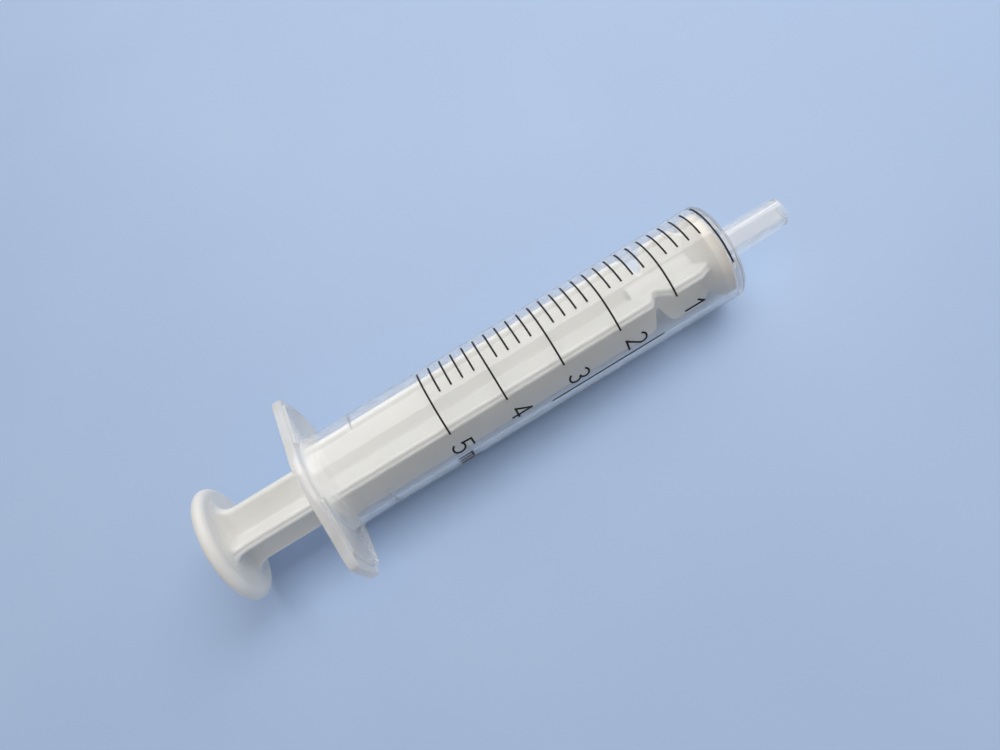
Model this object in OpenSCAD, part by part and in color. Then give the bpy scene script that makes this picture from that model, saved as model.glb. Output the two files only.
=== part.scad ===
// Two-piece oral syringe, 5 ml.
// The barrel's axis is X, with the nozzle towards +X. Z is up, and the scale faces up.
// The origin is on the barrel's axis, in the plane of the finger pads' tops.
// A scale angle is measured from +Z towards -Y, about the barrel's axis.

/* [Barrel] */
// Outside diameter of the barrel
barrel_od = 14; // [13.6:0.1:15]
// Diameter of the bore, which sets the volume for each millimetre of travel
bore_d = 12.2; // [11.8:0.1:12.4]
// Length from the finger pads' tops to the outside of the end wall
barrel_len = 61.7; // [60:0.1:70]
// Thickness of the end wall
end_wall = 1.2; // [0.8:0.1:2]
// Rounding of the barrel's front edge
front_edge_r = 1; // [0.4:0.1:1.2]
// Distance of the retention ring from the finger pads' tops
ring_x = 6.7; // [5:0.1:12]
// Height of the retention ring above the bore
ring_h = 0.15; // [0.1:0.01:0.18]

/* [Nozzle] */
// Length of the nozzle beyond the end wall
nozzle_len = 10.2; // [8:0.05:14]
// Diameter of the nozzle at its root
nozzle_root_d = 4.55; // [4.4:0.01:5]
// Diameter of the nozzle at its tip
nozzle_tip_d = 4; // [3.8:0.01:4.2]
// Diameter of the nozzle's bore
nozzle_bore_d = 2.3; // [1.2:0.1:2.6]
// Rounding of the nozzle's tip
nozzle_edge_r = 0.5; // [0.2:0.1:0.6]

/* [Finger flange] */
// Length across the two lobes
flange_len = 26.8; // [24:0.1:32]
// Width between the two blunt corners over the barrel, before they are rounded
flange_w = 18.6; // [17.4:0.1:20]
// Width of a lobe's blunt end
lobe_end_w = 8.6; // [6:0.1:10]
// Thickness of the plate
plate_t = 1.4; // [1:0.1:2.4]
// Height of the finger pads above the plate
pad_h = 0.4; // [0.1:0.05:0.5]
// Border left around each finger pad
pad_border = 0.25; // [0.2:0.05:1]
// Distance from the middle of the flange to a finger pad
pad_from = 4; // [3:0.5:8]
// Radius at which the finger pads end, about the barrel's axis
pad_end_r = 12.5; // [11:0.1:13.5]

/* [Plunger] */
// Radial running clearance of the piston in the bore
piston_gap = 0.05; // [0.02:0.01:0.1]
// Radial clearance of the ribs in the bore
rib_gap = 0.3; // [0.25:0.05:0.6]
// Thickness of the four ribs
rib_t = 1.3; // [1:0.1:1.8]
// Radius of the ribs behind the barrel
rod_r = 4.3; // [3.6:0.1:5]
// Diameter of the thumb disc
disc_d = 16.8; // [15:0.1:20]
// Thickness of the thumb disc
disc_t = 2; // [1.6:0.1:3]
// Distance from the finger pads' tops to the disc's rear face
disc_rear = 16.6; // [14:0.1:20]
// Turn of the ribs about the axis, from the flange's short axis
rib_turn = 41; // [0:1:90]

/* [Scale] */
// Volume that the scale shows, in millilitres
scale_ml = 5; // [1:1:5]
// Lines for each millilitre
lines_per_ml = 5; // [2:1:10]
// Half of the angle that a long line spans
line_half_angle = 44.5; // [30:0.5:50]
// Width of a printed line
ink_w = 0.26; // [0.15:0.01:0.4]
// Thickness of the printed ink
ink_t = 0.03; // [0.02:0.01:0.05]
// Height of a numeral
numeral_h = 3.1; // [2.4:0.1:3.6]
// Angle of the numerals' centre line
numeral_angle = 65.5; // [62:0.5:70]
// Distance from one numeral to the next
numeral_pitch = 8.85; // [8:0.05:9]

/* [Hidden] */
$fn = 96;

// A little more, so that a cut passes through a face
over = 1;
barrel_r = barrel_od / 2;
bore_r = bore_d / 2;
bore_end = barrel_len - end_wall;
flange_rear = -pad_h - plate_t;
tip_x = barrel_len + nozzle_len;
ring_half_w = 0.4;
mouth_chamfer = 0.4;
bore_corner = 0.3;
lobe_corner_r = 2;
flat_corner_r = 6;
pad_clearance = 0.9;

// The piston touches the end wall when the plunger is fully in
piston_x = bore_end - 0.1;
piston_r = bore_r - piston_gap;
piston_rim = 1.5;
rib_r = bore_r - rib_gap;
neck_r = 2.3;
neck_slope = 1;
rib_step_x = -0.8;
rib_step = 0.3;
disc_front = disc_t - disc_rear;
root_r = 2;
root_side_r = 1.5;
// The ribs' widened roots start a little inside the disc, so that they cross its face
root_x = disc_front - 0.1;

// Where the ribs are cut away, measured back from the piston's front
gap_x = 2.45;
gap_r = 4.4;
web_front = 4.2;
web_rear = 8.75;
notch_x = 10.07;
ribs_front = 11.6;
rib_corner_r = 1.2;
notch_corner_r = 0.3;

ml_len = 1000 / (PI * bore_r * bore_r);
line_pitch = ml_len / lines_per_ml;
numeral_base = 8.35;
stroke = 0.28;
unit_angle = 92;
unit_h = 2.2;
rule_angle = 79.5;
rule_from = 29.2;
rule_to = 11.8;

// ---- Outlines ----

function unit(v) = v / norm(v);

// Points of a round corner of radius r at p, between the corners a and b
function round_corner(a, p, b, r, steps = 8) =
    let (
        u = unit(a - p),
        v = unit(b - p),
        half = acos(u * v) / 2,
        centre = p + unit(u + v) * r / sin(half),
        from = p + u * r / tan(half) - centre,
        to = p + v * r / tan(half) - centre,
        turn = 180 - 2 * half,
        way = sign(from[0] * to[1] - from[1] * to[0])
    )
    [for (i = [0:steps])
        let (s = way * turn * i / steps)
        centre + [
            from[0] * cos(s) - from[1] * sin(s),
            from[0] * sin(s) + from[1] * cos(s)
        ]];

// An outline whose corners are [x, y, radius], where radius 0 stays sharp
function rounded(corners) =
    let (
        n = len(corners),
        at = [for (c = corners) [c[0], c[1]]]
    )
    [for (i = [0:n - 1])
        let (r = corners[i][2])
        each r == 0
            ? [at[i]]
            : round_corner(at[(i + n - 1) % n], at[i], at[(i + 1) % n], r)];

// Turns the outline of [radius, distance along X] about the barrel's axis
module turned(corners) {
    rotate([0, 90, 0])
        rotate_extrude()
            polygon(rounded(corners));
}

// ---- Barrel ----

// Outline of the flange in its own plane, drawn in by inset
module flange_outline(inset = 0) {
    x = flange_len / 2 - inset;
    y_mid = flange_w / 2 - inset;
    y_end = lobe_end_w / 2 - inset * 0.7;
    polygon(rounded([
        [x, -y_end, lobe_corner_r],
        [x, y_end, lobe_corner_r],
        [0, y_mid, flat_corner_r],
        [-x, y_end, lobe_corner_r],
        [-x, -y_end, lobe_corner_r],
        [0, -y_mid, flat_corner_r]
    ]));
}

// Stands a flat shape across the barrel's axis, its length along Y
module across_axis(x, t) {
    translate([x, 0, 0])
        rotate([90, 0, 90])
            linear_extrude(t)
                children();
}

module finger_pads() {
    across_axis(-pad_h, pad_h)
        difference() {
            intersection() {
                flange_outline(pad_border);
                circle(pad_end_r);
            }
            circle(barrel_r + pad_clearance);
            square([2 * pad_from, flange_w], center = true);
        }
}

module barrel_body() {
    turned([
        [0, flange_rear, 0],
        [barrel_r, flange_rear, 0],
        [barrel_r, barrel_len, front_edge_r],
        [nozzle_root_d / 2, barrel_len, 0],
        [nozzle_tip_d / 2, tip_x, nozzle_edge_r],
        [0, tip_x, 0]
    ]);
}

module barrel_bore() {
    turned([
        [0, flange_rear - over, 0],
        [bore_r + mouth_chamfer, flange_rear - over, 0],
        [bore_r + mouth_chamfer, flange_rear, 0],
        [bore_r, flange_rear + mouth_chamfer, 0],
        [bore_r, ring_x - ring_half_w, 0],
        [bore_r - ring_h, ring_x, 0],
        [bore_r, ring_x + ring_half_w, 0],
        [bore_r, bore_end - bore_corner, 0],
        [bore_r - bore_corner, bore_end, 0],
        [nozzle_bore_d / 2, bore_end, 0],
        [nozzle_bore_d / 2, tip_x + over, 0],
        [0, tip_x + over, 0]
    ]);
}

module barrel() {
    color([0.84, 0.88, 0.92, 0.5])
        difference() {
            union() {
                barrel_body();
                across_axis(flange_rear, plate_t) flange_outline();
                finger_pads();
            }
            barrel_bore();
        }
}

// ---- Plunger ----

// The piston, with a thin rim and a rear face that slopes to the neck
module piston() {
    turned([
        [0, piston_x, 0],
        [piston_r - bore_corner, piston_x, 0],
        [piston_r, piston_x - bore_corner, 0],
        [piston_r, piston_x - piston_rim, 0],
        [gap_r, piston_x - gap_x, 0],
        [neck_r, piston_x - gap_x - neck_slope, 0],
        [neck_r, piston_x - ribs_front - over, 0],
        [0, piston_x - ribs_front - over, 0]
    ]);
}

// The space that the four ribs fill, with the notches behind the piston
module rib_envelope() {
    turned([
        [0, disc_front - disc_t / 2, 0],
        [rod_r + root_r, disc_front - disc_t / 2, 0],
        [rod_r + root_r, root_x, 0],
        [rod_r, root_x, root_r],
        [rod_r, rib_step_x, 0],
        [rib_r, rib_step_x + rib_step, 0],
        [rib_r, piston_x - ribs_front, rib_corner_r],
        [neck_r, piston_x - notch_x, notch_corner_r],
        [rib_r, piston_x - web_rear, rib_corner_r],
        [rib_r, piston_x - web_front, rib_corner_r],
        [gap_r, piston_x - gap_x, notch_corner_r],
        [gap_r + over, piston_x - piston_rim, 0],
        [0, piston_x - piston_rim, 0]
    ]);
}

// Two opposite ribs, which widen into the thumb disc
module rib_pair() {
    half = rib_t / 2;
    back = disc_front - disc_t / 2;
    linear_extrude(2 * barrel_r, center = true)
        polygon(rounded([
            [back, -half - root_side_r, 0],
            [root_x, -half - root_side_r, 0],
            [root_x, -half, root_side_r],
            [piston_x, -half, 0],
            [piston_x, half, 0],
            [root_x, half, root_side_r],
            [root_x, half + root_side_r, 0],
            [back, half + root_side_r, 0]
        ]));
}

module ribs() {
    intersection() {
        rib_envelope();
        rotate([rib_turn, 0, 0])
            union() {
                rib_pair();
                rotate([90, 0, 0]) rib_pair();
            }
    }
}

module thumb_disc() {
    edge_r = disc_t / 2 - 0.01;
    turned([
        [0, -disc_rear, 0],
        [disc_d / 2, -disc_rear, edge_r],
        [disc_d / 2, disc_front, edge_r],
        [0, disc_front, 0]
    ]);
}

module plunger() {
    color([0.93, 0.93, 0.9])
        union() {
            piston();
            ribs();
            thumb_disc();
        }
}

// ---- Printed scale ----

// One printed line across the axis, at x, over a range of scale angles
module arc_line(x, from, to) {
    rotate([0, 90, 0])
        rotate([0, 0, 180 + from])
            rotate_extrude(angle = to - from)
                translate([barrel_r, x - ink_w / 2])
                    square([ink_t, ink_w]);
}

module ink_layer() {
    rotate([0, 90, 0])
        difference() {
            cylinder(r = barrel_r + ink_t, h = barrel_len);
            translate([0, 0, -over])
                cylinder(r = barrel_r, h = barrel_len + 2 * over);
        }
}

// Prints a flat shape on the barrel. Its foot is at x, and its middle at the scale angle.
module printed(x, angle) {
    intersection() {
        rotate([angle, 0, 0])
            translate([x, 0, barrel_r / 2])
                rotate([0, 0, -90])
                    linear_extrude(barrel_r)
                        children();
        ink_layer();
    }
}

// A straight stroke of the print between two points
module bar(from, to) {
    run = to - from;
    translate(from)
        rotate(atan2(run[1], run[0]))
            translate([-stroke / 2, -stroke / 2])
                square([norm(run) + stroke, stroke]);
}

// A round stroke of the print about a centre, anticlockwise between two angles
module bow(centre, r, from, to) {
    reach = 2 * r;
    steps = ceil((to - from) / 45);
    translate(centre)
        intersection() {
            difference() {
                circle(r + stroke / 2);
                circle(r - stroke / 2);
            }
            polygon(concat([[0, 0]], [for (i = [0:steps])
                let (s = from + (to - from) * i / steps)
                [reach * cos(s), reach * sin(s)]]));
        }
}

// The numerals stand on y = 0 and are centred on x = 0
module numeral(n) {
    foot = stroke / 2;
    top = numeral_h - stroke / 2;
    side = 0.74;
    if (n == 1) {
        bar([0.1, foot], [0.1, top]);
        bar([0.1, top], [-0.5, top - 0.7]);
    }
    if (n == 2) {
        bow([0, top - side], side, -35, 165);
        bar([side * cos(-35), top - side + side * sin(-35)], [-side, foot]);
        bar([-side, foot], [side, foot]);
    }
    if (n == 3) {
        upper = (top - foot) * 0.235;
        lower = (top - foot) / 2 - upper;
        bow([0, top - upper], upper, -90, 155);
        bow([0, foot + lower], lower, -155, 90);
    }
    if (n == 4) {
        bar([0.35, foot], [0.35, top]);
        bar([0.35, top], [-side, 0.95]);
        bar([-side, 0.95], [side, 0.95]);
    }
    if (n == 5) {
        bowl = 0.84;
        bar([-0.5, top], [0.6, top]);
        bar([-0.5, top], [-0.6, foot + bowl + 0.62]);
        bow([-0.08, foot + bowl], bowl, -150, 130);
    }
}

module major_graduations() {
    color([0.05, 0.05, 0.06])
        for (ml = [0:scale_ml])
            arc_line(piston_x - ml * ml_len, -line_half_angle, line_half_angle);
}

module minor_graduations() {
    color([0.05, 0.05, 0.06])
        for (i = [0:scale_ml * lines_per_ml])
            if (i % lines_per_ml != 0)
                arc_line(piston_x - i * line_pitch, -line_half_angle, -1);
}

module numerals() {
    color([0.05, 0.05, 0.06])
        for (ml = [1:scale_ml])
            printed(piston_x - numeral_base - (ml - 1) * numeral_pitch, numeral_angle)
                numeral(ml);
}

// The unit's two letters, after the last numeral
module unit_mark() {
    half = 0.42;
    color([0.05, 0.05, 0.06])
        printed(piston_x - numeral_base - (scale_ml - 1) * numeral_pitch, unit_angle)
            translate([-0.35, 0]) {
                for (x = [-half, half]) {
                    bow([x, unit_h - half - stroke / 2], half, 0, 180);
                    bar([x + half, stroke / 2], [x + half, unit_h - half - stroke / 2]);
                }
                bar([-2 * half, stroke / 2], [-2 * half, unit_h - stroke / 2]);
                bar([2 * half + 0.62, stroke / 2], [2 * half + 0.62, numeral_h - stroke / 2]);
            }
}

// A plain line along the barrel, beside the numerals
module rule_line() {
    color([0.05, 0.05, 0.06])
        printed(piston_x - rule_from, rule_angle)
            translate([-ink_w / 2, 0])
                square([ink_w, rule_from - rule_to]);
}

barrel();
plunger();
major_graduations();
minor_graduations();
numerals();
unit_mark();
rule_line();
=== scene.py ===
"""The looks of a two-piece 5 ml oral syringe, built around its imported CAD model.

Sizes are in millimetres, and each is turned into metres where Blender is given it.
The barrel's axis is X, with the nozzle towards +X, and the scale faces up.
"""

import math

import bmesh
import bpy
import numpy as np
import openvdb
from mathutils import Matrix, Vector


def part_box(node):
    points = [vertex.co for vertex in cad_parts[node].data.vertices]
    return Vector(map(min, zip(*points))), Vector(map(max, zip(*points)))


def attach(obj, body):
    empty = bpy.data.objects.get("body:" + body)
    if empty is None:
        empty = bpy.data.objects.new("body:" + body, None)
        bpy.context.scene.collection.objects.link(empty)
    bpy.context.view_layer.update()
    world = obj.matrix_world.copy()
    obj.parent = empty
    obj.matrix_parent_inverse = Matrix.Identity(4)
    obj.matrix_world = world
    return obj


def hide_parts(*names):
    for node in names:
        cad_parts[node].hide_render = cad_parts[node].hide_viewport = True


MM = 0.001

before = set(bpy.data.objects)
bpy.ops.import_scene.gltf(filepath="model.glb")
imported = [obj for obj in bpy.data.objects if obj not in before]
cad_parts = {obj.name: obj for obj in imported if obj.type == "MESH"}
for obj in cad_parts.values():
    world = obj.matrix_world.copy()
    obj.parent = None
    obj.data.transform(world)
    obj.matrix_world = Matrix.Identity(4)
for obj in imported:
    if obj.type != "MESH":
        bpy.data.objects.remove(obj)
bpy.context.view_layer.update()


# ---- Sizes, in millimetres ----

barrel_low, barrel_high = (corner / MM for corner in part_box("barrel"))
plunger_low, plunger_high = (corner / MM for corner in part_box("plunger"))

# Flange. Its finger pads' tops are in the plane X = 0. A lobe's end narrows by LOBE_END_SHARE
# of the distance that the outline is moved inwards.
FLANGE_REAR = barrel_low.x
PLATE_FRONT = -0.4
LOBE_REACH = barrel_high.y
FLANGE_CORNER_HALF_W = 9.3
LOBE_END_HALF_W = 4.3
LOBE_END_SHARE = 0.7
LOBE_CORNER_R = 2.0
FLAT_CORNER_R = 6.0
RIM_EDGE_R = 0.28
FLANGE_FILLET_R = 0.4

# Finger pads, from PAD_START_R or PAD_START_Y out to PAD_END_R or the flange's rim
PAD_BORDER = 0.25
PAD_END_R = 12.5
PAD_START_R = 7.9
PAD_START_Y = 4.0
PAD_NARROWEST = 0.5
RIDGE_PITCH = 0.36
RIDGE_DEPTH = 0.22
RIDGE_STEPS = 6
RIDGE_FADE = 0.25
RIDGE_MARGIN = 0.12

# Barrel and nozzle. The ring is the low retention ring in the bore.
BARREL_R = 7.0
BARREL_FRONT = 61.7
FRONT_EDGE_R = 1.0
BORE_R = 6.1
BORE_END = 60.5
BORE_CORNER_R = 0.3
MOUTH_CHAMFER = 0.4
MOUTH_EDGE_R = 0.2
RING_X = 6.7
RING_HALF_W = 0.4
RING_HEIGHT = 0.15
RING_CREST_R = 0.3
NOZZLE_TIP = barrel_high.x
NOZZLE_ROOT_R = 2.275
NOZZLE_FILLET_R = 0.35
NOZZLE_TIP_R = 2.0
NOZZLE_TIP_EDGE_R = 0.45
NOZZLE_BORE_R = 1.15
NOZZLE_BORE_EDGE_R = 0.25

# Piston. A core runs back from its cone, through the neck and in among the ribs.
PISTON_X = plunger_high.x
PISTON_R = 6.05
PISTON_EDGE_R = 0.3
PISTON_REAR = PISTON_X - 1.5
PISTON_REAR_EDGE_R = 0.12
CONE_REAR = PISTON_X - 2.45
CONE_REAR_R = 4.4
CONE_EDGE_R = 0.3
CORE_REAR = PISTON_X - 13
CORE_FRONT = PISTON_X - 3.45
CORE_FILLET_R = 0.5

# Ribs and rod. The ribs are cut away at the neck, and lower from RIB_STEP_X back to the disc.
RIB_R = 5.8
RIB_HALF_T = 0.65
RIB_EDGE_R = 0.25
RIB_CORNER_R = 1.2
RIB_TURN = math.radians(41)
RIB_FRONT = PISTON_X - 4.2
RIB_UNDER_PISTON_R = 5.4
NECK_R = 2.3
NECK_REAR = PISTON_X - 11.6
NECK_MIDDLE = PISTON_X - 10.07
NECK_FRONT = PISTON_X - 8.75
NECK_MIDDLE_R = 0.3
RIB_STEP_X = -0.8
RIB_STEP_LENGTH = 0.3
RIB_STEP_R = 0.2
ROD_R = 4.3

# Thumb disc, with a shallow dimple and a gate mark in its rear face
DISC_REAR = plunger_low.x
DISC_T = 2.0
DISC_R = 8.4
DISC_RIM_R = 0.97
DISC_RIM_WIDTH = 2.6
DISC_FRONT = DISC_REAR + DISC_T
DISC_FACE = DISC_FRONT - 0.25
DIMPLE_R = 2.2
DIMPLE_FLOOR = DISC_REAR + 0.3
DIMPLE_CORNER_R = 0.2
DIMPLE_SLOPE = 0.4
DIMPLE_EDGE_R = 0.3
GATE_R = 0.7
GATE_TOP = DISC_REAR + 0.12
GATE_SLOPE = 0.1
INSIDE_DISC = DISC_REAR + 1
ROOT_X = DISC_FRONT - 0.2
ROOT_R = 2.0
ROOT_SIDE_R = 1.1

# Fillets where the plunger's shapes meet
RIB_CROSS_FILLET_R = 0.35
PISTON_FILLET_R = 0.3
DISC_FILLET_R = 0.5

# How clear each part of the barrel is, and the stretches of X over which it changes
FLANGE_CLEARNESS = 0.52
WALL_CLEARNESS = 0.88
FRONT_CLEARNESS = 0.8
FLANGE_BLEND = (-0.5, 2.5)
FRONT_BLEND = (60.5, 61.5)

# Stretch of X over which a warm, darker painted shade is laid on the plunger, towards the
# piston's front. It stands for the shaded piston head glowing through its plastic.
PISTON_PAINTED_SHADE_BLEND = (PISTON_X - 3.5, PISTON_X)


# ---- Outlines and meshes ----

# Points closer than this are merged, and faces smaller than this are dropped.
MERGE_DISTANCE = 0.002

# Weight of the modifier that lets large faces set the shading of their corners
LARGE_FACES_FIRST = 100

# Stands in for a zero that something is divided by
NEARLY_ZERO = 1e-6


def unit(v):
    return v / np.linalg.norm(v)


def rounded(corners, steps=6):
    """Points of an outline whose corners are (x, y, radius). Radius 0 stays sharp."""
    at = [np.array(c[:2], float) for c in corners]
    points = []
    for i, (*_, r) in enumerate(corners):
        if r == 0:
            points.append(at[i])
            continue
        u = unit(at[i - 1] - at[i])
        v = unit(at[(i + 1) % len(at)] - at[i])
        half = math.acos(u @ v) / 2
        centre = at[i] + unit(u + v) * r / math.sin(half)
        start = at[i] + u * r / math.tan(half) - centre
        end = at[i] + v * r / math.tan(half) - centre
        way = math.copysign(1, start[0] * end[1] - start[1] * end[0])
        for turn in np.linspace(0, way * (math.pi - 2 * half), steps + 1):
            c, s = math.cos(turn), math.sin(turn)
            points.append(centre + (start[0] * c - start[1] * s, start[0] * s + start[1] * c))
    return points


def make_object(name, points, faces, material, normals=None):
    """A smooth mesh object from points in millimetres."""
    mesh = bpy.data.meshes.new(name)
    mesh.from_pydata(np.asarray(points) * MM, [], faces)
    mesh.shade_smooth()
    if normals is not None:
        mesh.normals_split_custom_set_from_vertices(normals)
    mesh.materials.append(material)
    piece = bpy.data.objects.new(name, mesh)
    bpy.context.scene.collection.objects.link(piece)
    return piece


# ---- Materials ----

class Nodes:
    """Builds one material's nodes, each call adding a node and linking its inputs."""

    def __init__(self, name):
        self.material = bpy.data.materials.new(name)
        self.material.use_nodes = True
        self.tree = self.material.node_tree
        self.tree.nodes.clear()
        self.place = self.add("ShaderNodeTexCoord").outputs["Object"]

    def add(self, kind, **inputs):
        node = self.tree.nodes.new(kind)
        for name, value in inputs.items():
            self.set(node, name.replace("_", " "), value)
        return node

    def set(self, node, name, value):
        """Links or sets an input, which is given by its name or its number."""
        socket = node.inputs[name]
        if isinstance(value, bpy.types.NodeSocket):
            self.tree.links.new(value, socket)
        else:
            socket.default_value = value

    def noise(self, scale, detail=4.0, stretch=(1, 1, 1)):
        """Noise with scale features a metre, drawn out along an axis by stretch below 1."""
        mapping = self.add("ShaderNodeMapping", Vector=self.place, Scale=stretch)
        place = mapping.outputs["Vector"]
        node = self.add("ShaderNodeTexNoise", Vector=place, Scale=scale, Detail=detail)
        return node.outputs["Fac"]

    def ramp(self, value, stops):
        node = self.add("ShaderNodeValToRGB", Fac=value)
        elements = node.color_ramp.elements
        while len(elements) < len(stops):
            elements.new(0.5)
        for element, (at, colour) in zip(elements, stops):
            element.position = at
            element.color = (*colour, 1)
        return node.outputs["Color"]

    def between(self, value, low, high):
        """Value, from 0 to 1, as a number from low to high."""
        node = self.add("ShaderNodeMapRange", Value=value, To_Min=low, To_Max=high)
        return node.outputs["Result"]

    def along(self, stretch, start=0.0, end=1.0):
        """A number that goes from start to end over a stretch of X in millimetres."""
        x = self.add("ShaderNodeSeparateXYZ", Vector=self.place).outputs["X"]
        low, high = (edge * MM for edge in stretch)
        node = self.add("ShaderNodeMapRange", Value=x, From_Min=low, From_Max=high)
        self.set(node, "To Min", start)
        self.set(node, "To Max", end)
        return node.outputs["Result"]

    def smaller(self, a, b):
        node = self.add("ShaderNodeMath")
        node.operation = "MINIMUM"
        self.set(node, 0, a)
        self.set(node, 1, b)
        return node.outputs[0]

    def mix_colours(self, share, first, second):
        node = self.add("ShaderNodeMix", Factor=share)
        node.data_type = "RGBA"
        # Numbers of its colour sockets, as their names are shared with its other sockets
        first_colour, second_colour, result = 6, 7, 2
        self.set(node, first_colour, first)
        self.set(node, second_colour, second)
        return node.outputs[result]

    def bump(self, height, strength, distance):
        node = self.add("ShaderNodeBump", Height=height, Strength=strength, Distance=distance)
        return node.outputs["Normal"]

    def output(self, shader):
        self.add("ShaderNodeOutputMaterial", Surface=shader)
        return self.material


def barrel_plastic():
    """Natural polypropylene: clear with a milky haze, denser in the flange and the nozzle.

    Shadow rays pass nearly unchanged, so that the plunger inside is lit through the wall.
    """
    m = Nodes("barrel_plastic")
    clearness = m.smaller(
        m.along(FLANGE_BLEND, FLANGE_CLEARNESS, WALL_CLEARNESS),
        m.along(FRONT_BLEND, WALL_CLEARNESS, FRONT_CLEARNESS),
    )
    streaks = m.noise(900, stretch=(0.15, 1, 1))
    cloud = m.noise(260)
    colour = m.ramp(cloud, [(0.3, (0.955, 0.96, 0.965)), (0.7, (0.985, 0.985, 0.98))])
    plastic = m.add(
        "ShaderNodeBsdfPrincipled",
        Base_Color=colour,
        Roughness=m.between(streaks, 0.06, 0.11),
        IOR=1.49,
        Transmission_Weight=clearness,
    )
    clear = m.add("ShaderNodeBsdfTransparent", Color=(0.985, 0.99, 0.995, 1))
    path = m.add("ShaderNodeLightPath")
    mix = m.add("ShaderNodeMixShader", Fac=path.outputs["Is Shadow Ray"])
    m.set(mix, 1, plastic.outputs[0])
    m.set(mix, 2, clear.outputs[0])
    return m.output(mix.outputs[0])


def plunger_plastic():
    """White polyethylene, a little translucent, with a warm, darker painted shade towards the
    piston's front.
    """
    m = Nodes("plunger_plastic")
    flow = m.noise(180, stretch=(0.3, 1, 1))
    grain = m.noise(4000, detail=3)
    white = m.ramp(flow, [(0.3, (0.83, 0.83, 0.81)), (0.7, (0.87, 0.87, 0.855))])
    # This second ramp is painted shade: a warm, darker tone for the shaded piston head glowing
    # through the plastic.
    painted_piston_shade = m.ramp(flow, [(0.3, (0.80, 0.745, 0.66)), (0.7, (0.84, 0.785, 0.70))])
    plastic = m.add(
        "ShaderNodeBsdfPrincipled",
        Base_Color=m.mix_colours(m.along(PISTON_PAINTED_SHADE_BLEND), white, painted_piston_shade),
        Roughness=m.between(grain, 0.38, 0.52),
        Normal=m.bump(grain, 0.2, 0.01 * MM),
        IOR=1.5,
        Subsurface_Weight=0.9,
        Subsurface_Radius=(1.0, 0.95, 0.88),
        Subsurface_Scale=0.7 * MM,
    )
    return m.output(plastic.outputs[0])


def printing_ink():
    """Matt black ink, thinner in places."""
    m = Nodes("printing_ink")
    speckle = m.noise(5000, detail=5)
    colour = m.ramp(speckle, [(0.35, (0.004, 0.004, 0.005)), (0.75, (0.014, 0.013, 0.014))])
    ink = m.add(
        "ShaderNodeBsdfPrincipled",
        Base_Color=colour,
        Roughness=m.between(speckle, 0.55, 0.75),
        Normal=m.bump(speckle, 0.3, 0.005 * MM),
        Specular_IOR_Level=0.3,
    )
    return m.output(ink.outputs[0])


def floor_surface():
    """Matt pale blue, a little uneven."""
    m = Nodes("floor_surface")
    cloud = m.noise(20)
    colour = m.ramp(cloud, [(0.3, (0.42, 0.57, 0.84)), (0.7, (0.45, 0.60, 0.86))])
    surface = m.add("ShaderNodeBsdfPrincipled", Base_Color=colour, Roughness=0.6)
    return m.output(surface.outputs[0])


# ---- Barrel ----

def outline_reach(inset):
    """The flange outline's distance from the axis, as a function of the angle from +Y.

    Inset moves the outline inwards.
    """
    y = LOBE_REACH - inset
    middle = FLANGE_CORNER_HALF_W - inset
    end = LOBE_END_HALF_W - LOBE_END_SHARE * inset
    corners = [
        (y, -end, LOBE_CORNER_R),
        (y, end, LOBE_CORNER_R),
        (0, middle, FLAT_CORNER_R),
        (-y, end, LOBE_CORNER_R),
        (-y, -end, LOBE_CORNER_R),
        (0, -middle, FLAT_CORNER_R),
    ]
    outline = np.array(rounded(corners, steps=40))
    closed = np.vstack([outline, outline[:1]])
    points_per_side = 30
    fine = np.linspace(0, 1, points_per_side, endpoint=False)[:, None]
    dense = np.concatenate([a + (b - a) * fine for a, b in zip(closed[:-1], closed[1:])])
    angle = np.arctan2(dense[:, 1], dense[:, 0])
    order = np.argsort(angle)
    angle = angle[order]
    reach = np.linalg.norm(dense, axis=1)[order]
    return lambda psi: np.interp(psi, angle, reach, period=2 * math.pi)


def pad_profile(inner, outer):
    """Points (radius, x) over a ridged finger pad, from its outer foot to its inner foot."""
    steps = np.arange(PAD_START_R, PAD_END_R, RIDGE_PITCH / RIDGE_STEPS)[::-1]
    radius = np.clip(steps, inner + RIDGE_MARGIN, outer - RIDGE_MARGIN)
    wave = 0.5 - 0.5 * np.cos(2 * math.pi * (radius - PAD_START_R) / RIDGE_PITCH)
    fade = np.clip(np.minimum(radius - inner, outer - radius) / RIDGE_FADE, 0, 1)
    ridges = np.stack([radius, -RIDGE_DEPTH * wave * fade], 1)
    # The pad's side, as (distance outwards, x), from the plate up to its rounded top edge
    rise = [(0.04, PLATE_FRONT), (0, PLATE_FRONT + 0.05), (-0.01, -0.1), (-0.04, -0.03)]
    up = [(outer + out, x) for out, x in rise]
    down = [(inner - out, x) for out, x in reversed(rise)]
    return np.vstack([up, ridges, down])


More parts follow.
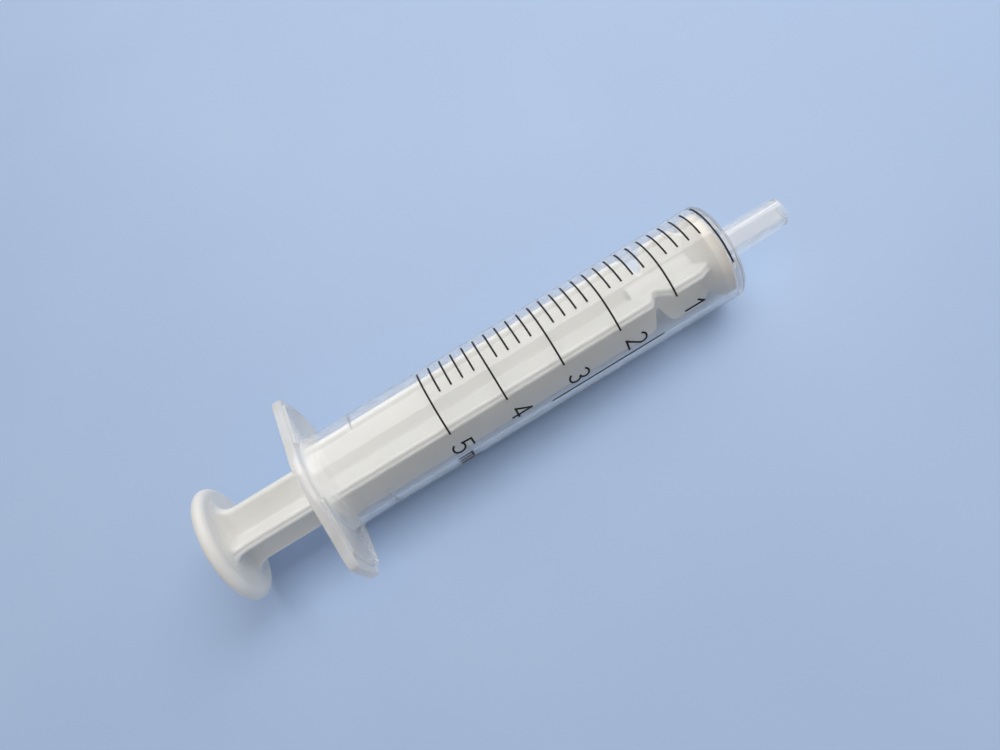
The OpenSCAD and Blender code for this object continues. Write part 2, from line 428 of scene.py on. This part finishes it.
def barrel_profile(psi, reach, pad_reach):
    """The barrel's section at angle psi from +Y, as (radius, x) around its whole skin.

    Every angle gives the same number of points, also where there is no pad.
    """
    edge = reach(psi)
    before = rounded([
        (BORE_R + MOUTH_CHAMFER, FLANGE_REAR, 0),
        (edge, FLANGE_REAR, RIM_EDGE_R),
        (edge, PLATE_FRONT, RIM_EDGE_R),
        (BARREL_R, PLATE_FRONT, 0),
    ])[:-1]
    after = rounded([
        (edge, PLATE_FRONT, 0),
        (BARREL_R, PLATE_FRONT, FLANGE_FILLET_R),
        (BARREL_R, BARREL_FRONT, FRONT_EDGE_R),
        (NOZZLE_ROOT_R, BARREL_FRONT, NOZZLE_FILLET_R),
        (NOZZLE_TIP_R, NOZZLE_TIP, NOZZLE_TIP_EDGE_R),
        (NOZZLE_BORE_R, NOZZLE_TIP, NOZZLE_BORE_EDGE_R),
        (NOZZLE_BORE_R, BORE_END, NOZZLE_BORE_EDGE_R),
        (BORE_R, BORE_END, BORE_CORNER_R),
        (BORE_R, RING_X + RING_HALF_W, 0),
        (BORE_R - RING_HEIGHT, RING_X, RING_CREST_R),
        (BORE_R, RING_X - RING_HALF_W, 0),
        (BORE_R, FLANGE_REAR + MOUTH_CHAMFER, MOUTH_EDGE_R),
        (BORE_R + MOUTH_CHAMFER, FLANGE_REAR, 0),
    ])[1:-1]
    outer = min(PAD_END_R, pad_reach(psi))
    along_y = max(abs(math.cos(psi)), NEARLY_ZERO)
    inner = max(PAD_START_R, PAD_START_Y / along_y)
    pad = pad_profile(inner, outer)
    if outer - inner <= PAD_NARROWEST:
        pad[:] = ((edge + BARREL_R) / 2, PLATE_FRONT)
    return np.vstack([before, pad, after])


def build_barrel(material):
    """The whole moulding as one closed skin, with sections closer together at the lobes."""
    columns = 288
    crowding = 0.3
    reach = outline_reach(0)
    pad_reach = outline_reach(PAD_BORDER)
    turn = 2 * math.pi * np.arange(columns) / columns
    angles = turn - crowding * np.sin(2 * turn)
    sections = [barrel_profile(psi, reach, pad_reach) for psi in angles]
    rows = len(sections[0])
    points = np.array([
        (x, r * math.cos(psi), r * math.sin(psi))
        for psi, section in zip(angles, sections)
        for r, x in section
    ])
    faces = []
    for i in range(columns):
        here, beyond = i * rows, (i + 1) % columns * rows
        for j in range(rows):
            k = (j + 1) % rows
            faces.append((here + j, here + k, beyond + k, beyond + j))
    piece = make_object("barrel_moulding", points, faces, material)
    finish_mesh(piece)
    return piece


def finish_mesh(piece):
    """Merges points, drops faces with no area, turns faces outwards and evens the shading."""
    bm = bmesh.new()
    bm.from_mesh(piece.data)
    bmesh.ops.remove_doubles(bm, verts=bm.verts, dist=MERGE_DISTANCE * MM)
    bmesh.ops.dissolve_degenerate(bm, edges=bm.edges, dist=MERGE_DISTANCE * MM)
    bmesh.ops.recalc_face_normals(bm, faces=bm.faces)
    bm.to_mesh(piece.data)
    bm.free()
    weigh = piece.modifiers.new("weighted_normals", "WEIGHTED_NORMAL")
    weigh.weight = LARGE_FACES_FIRST
    weigh.keep_sharp = True


# ---- Plunger ----

# The grid that samples the plunger's distance field: its step, how readily nearly flat faces
# are merged, and the distance beyond which the field isn't needed
GRID = 0.16
ADAPTIVITY = 0.02
FIELD_REACH = 1.0

# An outline's side is skipped as a point when its squared length is below this.
SHORTEST_SQUARED = 1e-12


def outline_distance(outline, x, r):
    """Signed distance from points (x, r) to a closed outline, negative inside."""
    outline = np.array(outline)
    nearest = np.full(x.shape, np.inf)
    inside = np.zeros(x.shape, bool)
    for (x0, r0), (x1, r1) in zip(outline, np.roll(outline, -1, axis=0)):
        dx, dr = x1 - x0, r1 - r0
        length = dx * dx + dr * dr
        if length < SHORTEST_SQUARED:
            continue
        t = np.clip(((x - x0) * dx + (r - r0) * dr) / length, 0, 1)
        nearest = np.minimum(nearest, np.hypot(x - x0 - t * dx, r - r0 - t * dr))
        crosses = (r0 > r) != (r1 > r)
        if dr != 0:
            inside ^= crosses & (x < x0 + (r - r0) * dx / dr)
    return np.where(inside, -nearest, nearest)


def turned_distance(outline, x, radius):
    """Signed distance to an outline of (x, radius) over a grid.

    Radius holds each point's distance from the axis in one slice across X.
    """
    reach = np.arange(0, radius.max() + GRID, GRID / 2)
    table = outline_distance(outline, *np.meshgrid(x, reach, indexing="ij"))
    return np.stack([np.interp(radius, reach, row) for row in table])


def join(a, b, r):
    """Union with a fillet of radius r in the corner."""
    return np.maximum(r, np.minimum(a, b)) - np.hypot(np.maximum(r - a, 0), np.maximum(r - b, 0))


def cut(a, b, r):
    """Intersection with its edge rounded to radius r."""
    return np.minimum(-r, np.maximum(a, b)) + np.hypot(np.maximum(r + a, 0), np.maximum(r + b, 0))


def plunger_field(x, y, z):
    """Signed distance to the plunger's skin over a grid, in millimetres.

    The ribs are what their envelope, turned about X, shares with each rib's own thickness.
    """
    disc = rounded([
        (GATE_TOP, 0, 0),
        (GATE_TOP, GATE_R, 0),
        (DIMPLE_FLOOR, GATE_R + GATE_SLOPE, 0),
        (DIMPLE_FLOOR, DIMPLE_R, DIMPLE_CORNER_R),
        (DISC_REAR, DIMPLE_R + DIMPLE_SLOPE, DIMPLE_EDGE_R),
        (DISC_REAR, DISC_R, DISC_RIM_R),
        (DISC_FRONT, DISC_R, DISC_RIM_R),
        (DISC_FACE, DISC_R - DISC_RIM_WIDTH, 0),
        (DISC_FACE, 0, 0),
    ])
    piston = rounded([
        (CORE_REAR, 0, 0),
        (CORE_REAR, NECK_R, 0),
        (CORE_FRONT, NECK_R, CORE_FILLET_R),
        (CONE_REAR, CONE_REAR_R, CONE_EDGE_R),
        (PISTON_REAR, PISTON_R, PISTON_REAR_EDGE_R),
        (PISTON_X, PISTON_R, PISTON_EDGE_R),
        (PISTON_X, 0, 0),
    ])
    envelope = rounded([
        (INSIDE_DISC, 0, 0),
        (INSIDE_DISC, ROD_R + ROOT_R, 0),
        (ROOT_X, ROD_R + ROOT_R, 0),
        (ROOT_X, ROD_R, ROOT_R),
        (RIB_STEP_X, ROD_R, RIB_STEP_R),
        (RIB_STEP_X + RIB_STEP_LENGTH, RIB_R, RIB_STEP_R),
        (NECK_REAR, RIB_R, RIB_CORNER_R),
        (NECK_MIDDLE, NECK_R, NECK_MIDDLE_R),
        (NECK_FRONT, RIB_R, RIB_CORNER_R),
        (RIB_FRONT, RIB_R, RIB_CORNER_R),
        (CONE_REAR, CONE_REAR_R, CONE_EDGE_R),
        (PISTON_REAR, RIB_UNDER_PISTON_R, 0),
        (PISTON_REAR, 0, 0),
    ])
    rib = rounded([
        (INSIDE_DISC, 0, 0),
        (INSIDE_DISC, RIB_HALF_T + ROOT_SIDE_R, 0),
        (ROOT_X, RIB_HALF_T + ROOT_SIDE_R, 0),
        (ROOT_X, RIB_HALF_T, ROOT_SIDE_R),
        (PISTON_X, RIB_HALF_T, 0),
        (PISTON_X, 0, 0),
    ])
    yy, zz = np.meshgrid(y, z, indexing="ij")
    radius = np.hypot(yy, zz)
    across = np.abs(yy * math.cos(RIB_TURN) + zz * math.sin(RIB_TURN))
    along = np.abs(zz * math.cos(RIB_TURN) - yy * math.sin(RIB_TURN))
    reach = turned_distance(envelope, x, radius)
    first = cut(reach, turned_distance(rib, x, across), RIB_EDGE_R)
    second = cut(reach, turned_distance(rib, x, along), RIB_EDGE_R)
    cross = join(first, second, RIB_CROSS_FILLET_R)
    rod = join(cross, turned_distance(piston, x, radius), PISTON_FILLET_R)
    return join(rod, turned_distance(disc, x, radius), DISC_FILLET_R)


def build_plunger(material):
    """The whole moulding as one closed skin, with its normals, from its distance field."""
    margin = 3 * GRID
    x = np.arange(DISC_REAR - margin, PISTON_X + margin, GRID)
    side = np.arange(-DISC_R - margin, DISC_R + margin, GRID)
    field = plunger_field(x, side, side)
    grid = openvdb.FloatGrid(FIELD_REACH)
    grid.copyFromArray(np.clip(field, -FIELD_REACH, FIELD_REACH).astype(np.float32))
    points, triangles, quads = grid.convertToPolygons(isovalue=0.0, adaptivity=ADAPTIVITY)
    slopes = np.gradient(field.astype(np.float32))
    normals = np.stack([sample(slope, points) for slope in slopes], 1)
    normals /= np.linalg.norm(normals, axis=1)[:, None]
    place = points * GRID + (x[0], side[0], side[0])
    faces = [tuple(int(i) for i in face) for face in (*triangles, *quads)]
    return make_object("plunger_moulding", place, faces, material, normals)


def sample(field, points):
    """Trilinear reading of a grid at points given in its own steps."""
    base = np.floor(points).astype(int)
    part = points - base
    total = np.zeros(len(points))
    for corner in np.ndindex(2, 2, 2):
        weight = np.prod(np.where(np.array(corner) == 1, part, 1 - part), axis=1)
        i, j, k = (np.minimum(base[:, a] + corner[a], field.shape[a] - 1) for a in range(3))
        total += weight * field[i, j, k]
    return total


# ---- Stage ----

FLOOR_HALF = 1500
LIGHTS_X = 180
LIGHTS_LENGTH = 600
DAYLIGHT = (1.0, 0.98, 0.95)
SOFT_WHITE = (1.0, 0.985, 0.965)

# The camera's place, the point that it looks at, and its upward direction. They were fitted
# to the lines of the scale in the photo, with a lens of 29.33 mm on a 36 mm sensor.
CAMERA_AT = Vector((24.84, -43.45, 102.35))
CAMERA_AIM = Vector((27.15, 0.65, 0.27))
CAMERA_UP = Vector((0.5195, 0.7801, 0.3487))
LENS = 29.33
SENSOR_WIDTH = 36
CLIP_START = 5
CLIP_END_M = 10

AMBIENT = (1.0, 0.975, 0.95, 1)
AMBIENT_STRENGTH = 0.38


def make_floor(material):
    """A plane that touches the flange's lower edge and the barrel's lower front edge."""
    flange_at = Vector((PLATE_FRONT, 0, barrel_low.z))
    front_at = Vector((BARREL_FRONT - FRONT_EDGE_R, 0, -BARREL_R))
    run = front_at - flange_at
    h = FLOOR_HALF
    corners = [(-h, -h, 0), (h, -h, 0), (h, h, 0), (-h, h, 0)]
    floor = make_object("floor", corners, [(0, 1, 2, 3)], material)
    floor.rotation_euler = (0, -math.atan2(run.z, run.x), 0)
    floor.location = flange_at * MM


def add_light(name, angle, distance, width, power, colour):
    """A soft box along the barrel. Angle is from +Z towards +Y, about the barrel."""
    data = bpy.data.lights.new(name, "AREA")
    data.shape = "RECTANGLE"
    data.size = LIGHTS_LENGTH * MM
    data.size_y = width * MM
    data.energy = power
    data.color = colour
    light = bpy.data.objects.new(name, data)
    bpy.context.scene.collection.objects.link(light)
    turn = math.radians(angle)
    across, up = distance * math.sin(turn), distance * math.cos(turn)
    light.location = Vector((LIGHTS_X, across, up)) * MM
    light.rotation_euler = (-turn, 0, 0)
    return light


def add_lights():
    """A window seen only in reflections, an overhead box for the diffuse light, and a side box.

    The overhead box is hidden from transmitted rays, as the shadow rays through the barrel
    already count its light on the plunger.
    """
    window = add_light("window", angle=37, distance=420, width=350, power=1.9, colour=DAYLIGHT)
    window.visible_diffuse = False
    window.visible_transmission = False
    overhead = add_light(
        "overhead", angle=17, distance=420, width=240, power=1.3, colour=SOFT_WHITE
    )
    overhead.visible_glossy = False
    overhead.visible_transmission = False
    add_light("side", angle=80, distance=520, width=120, power=0.25, colour=DAYLIGHT)


def add_camera():
    """The photo's viewing angle."""
    data = bpy.data.cameras.new("camera")
    data.lens = LENS
    data.sensor_width = SENSOR_WIDTH
    data.clip_start = CLIP_START * MM
    data.clip_end = CLIP_END_M
    camera = bpy.data.objects.new("camera", data)
    bpy.context.scene.collection.objects.link(camera)
    back = (CAMERA_AT - CAMERA_AIM).normalized()
    right = CAMERA_UP.cross(back).normalized()
    up = back.cross(right)
    camera.matrix_world = Matrix((
        (right.x, up.x, back.x, CAMERA_AT.x * MM),
        (right.y, up.y, back.y, CAMERA_AT.y * MM),
        (right.z, up.z, back.z, CAMERA_AT.z * MM),
        (0, 0, 0, 1),
    ))
    bpy.context.scene.camera = camera


def add_world():
    """A plain, slightly warm surround."""
    world = bpy.data.worlds.new("studio")
    world.use_nodes = True
    background = world.node_tree.nodes["Background"]
    background.inputs["Color"].default_value = AMBIENT
    background.inputs["Strength"].default_value = AMBIENT_STRENGTH
    bpy.context.scene.world = world


# ---- The scene ----

add_camera()
add_world()
add_lights()
make_floor(floor_surface())

barrel = build_barrel(barrel_plastic())
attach(barrel, "barrel")
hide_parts("barrel")

plunger = build_plunger(plunger_plastic())
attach(plunger, "plunger")
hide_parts("plunger")

ink = printing_ink()
for node in ("major_graduations", "minor_graduations", "numerals", "unit_mark", "rule_line"):
    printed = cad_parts[node]
    printed.data.materials.clear()
    printed.data.materials.append(ink)

bpy.context.scene.view_settings.view_transform = "Standard"
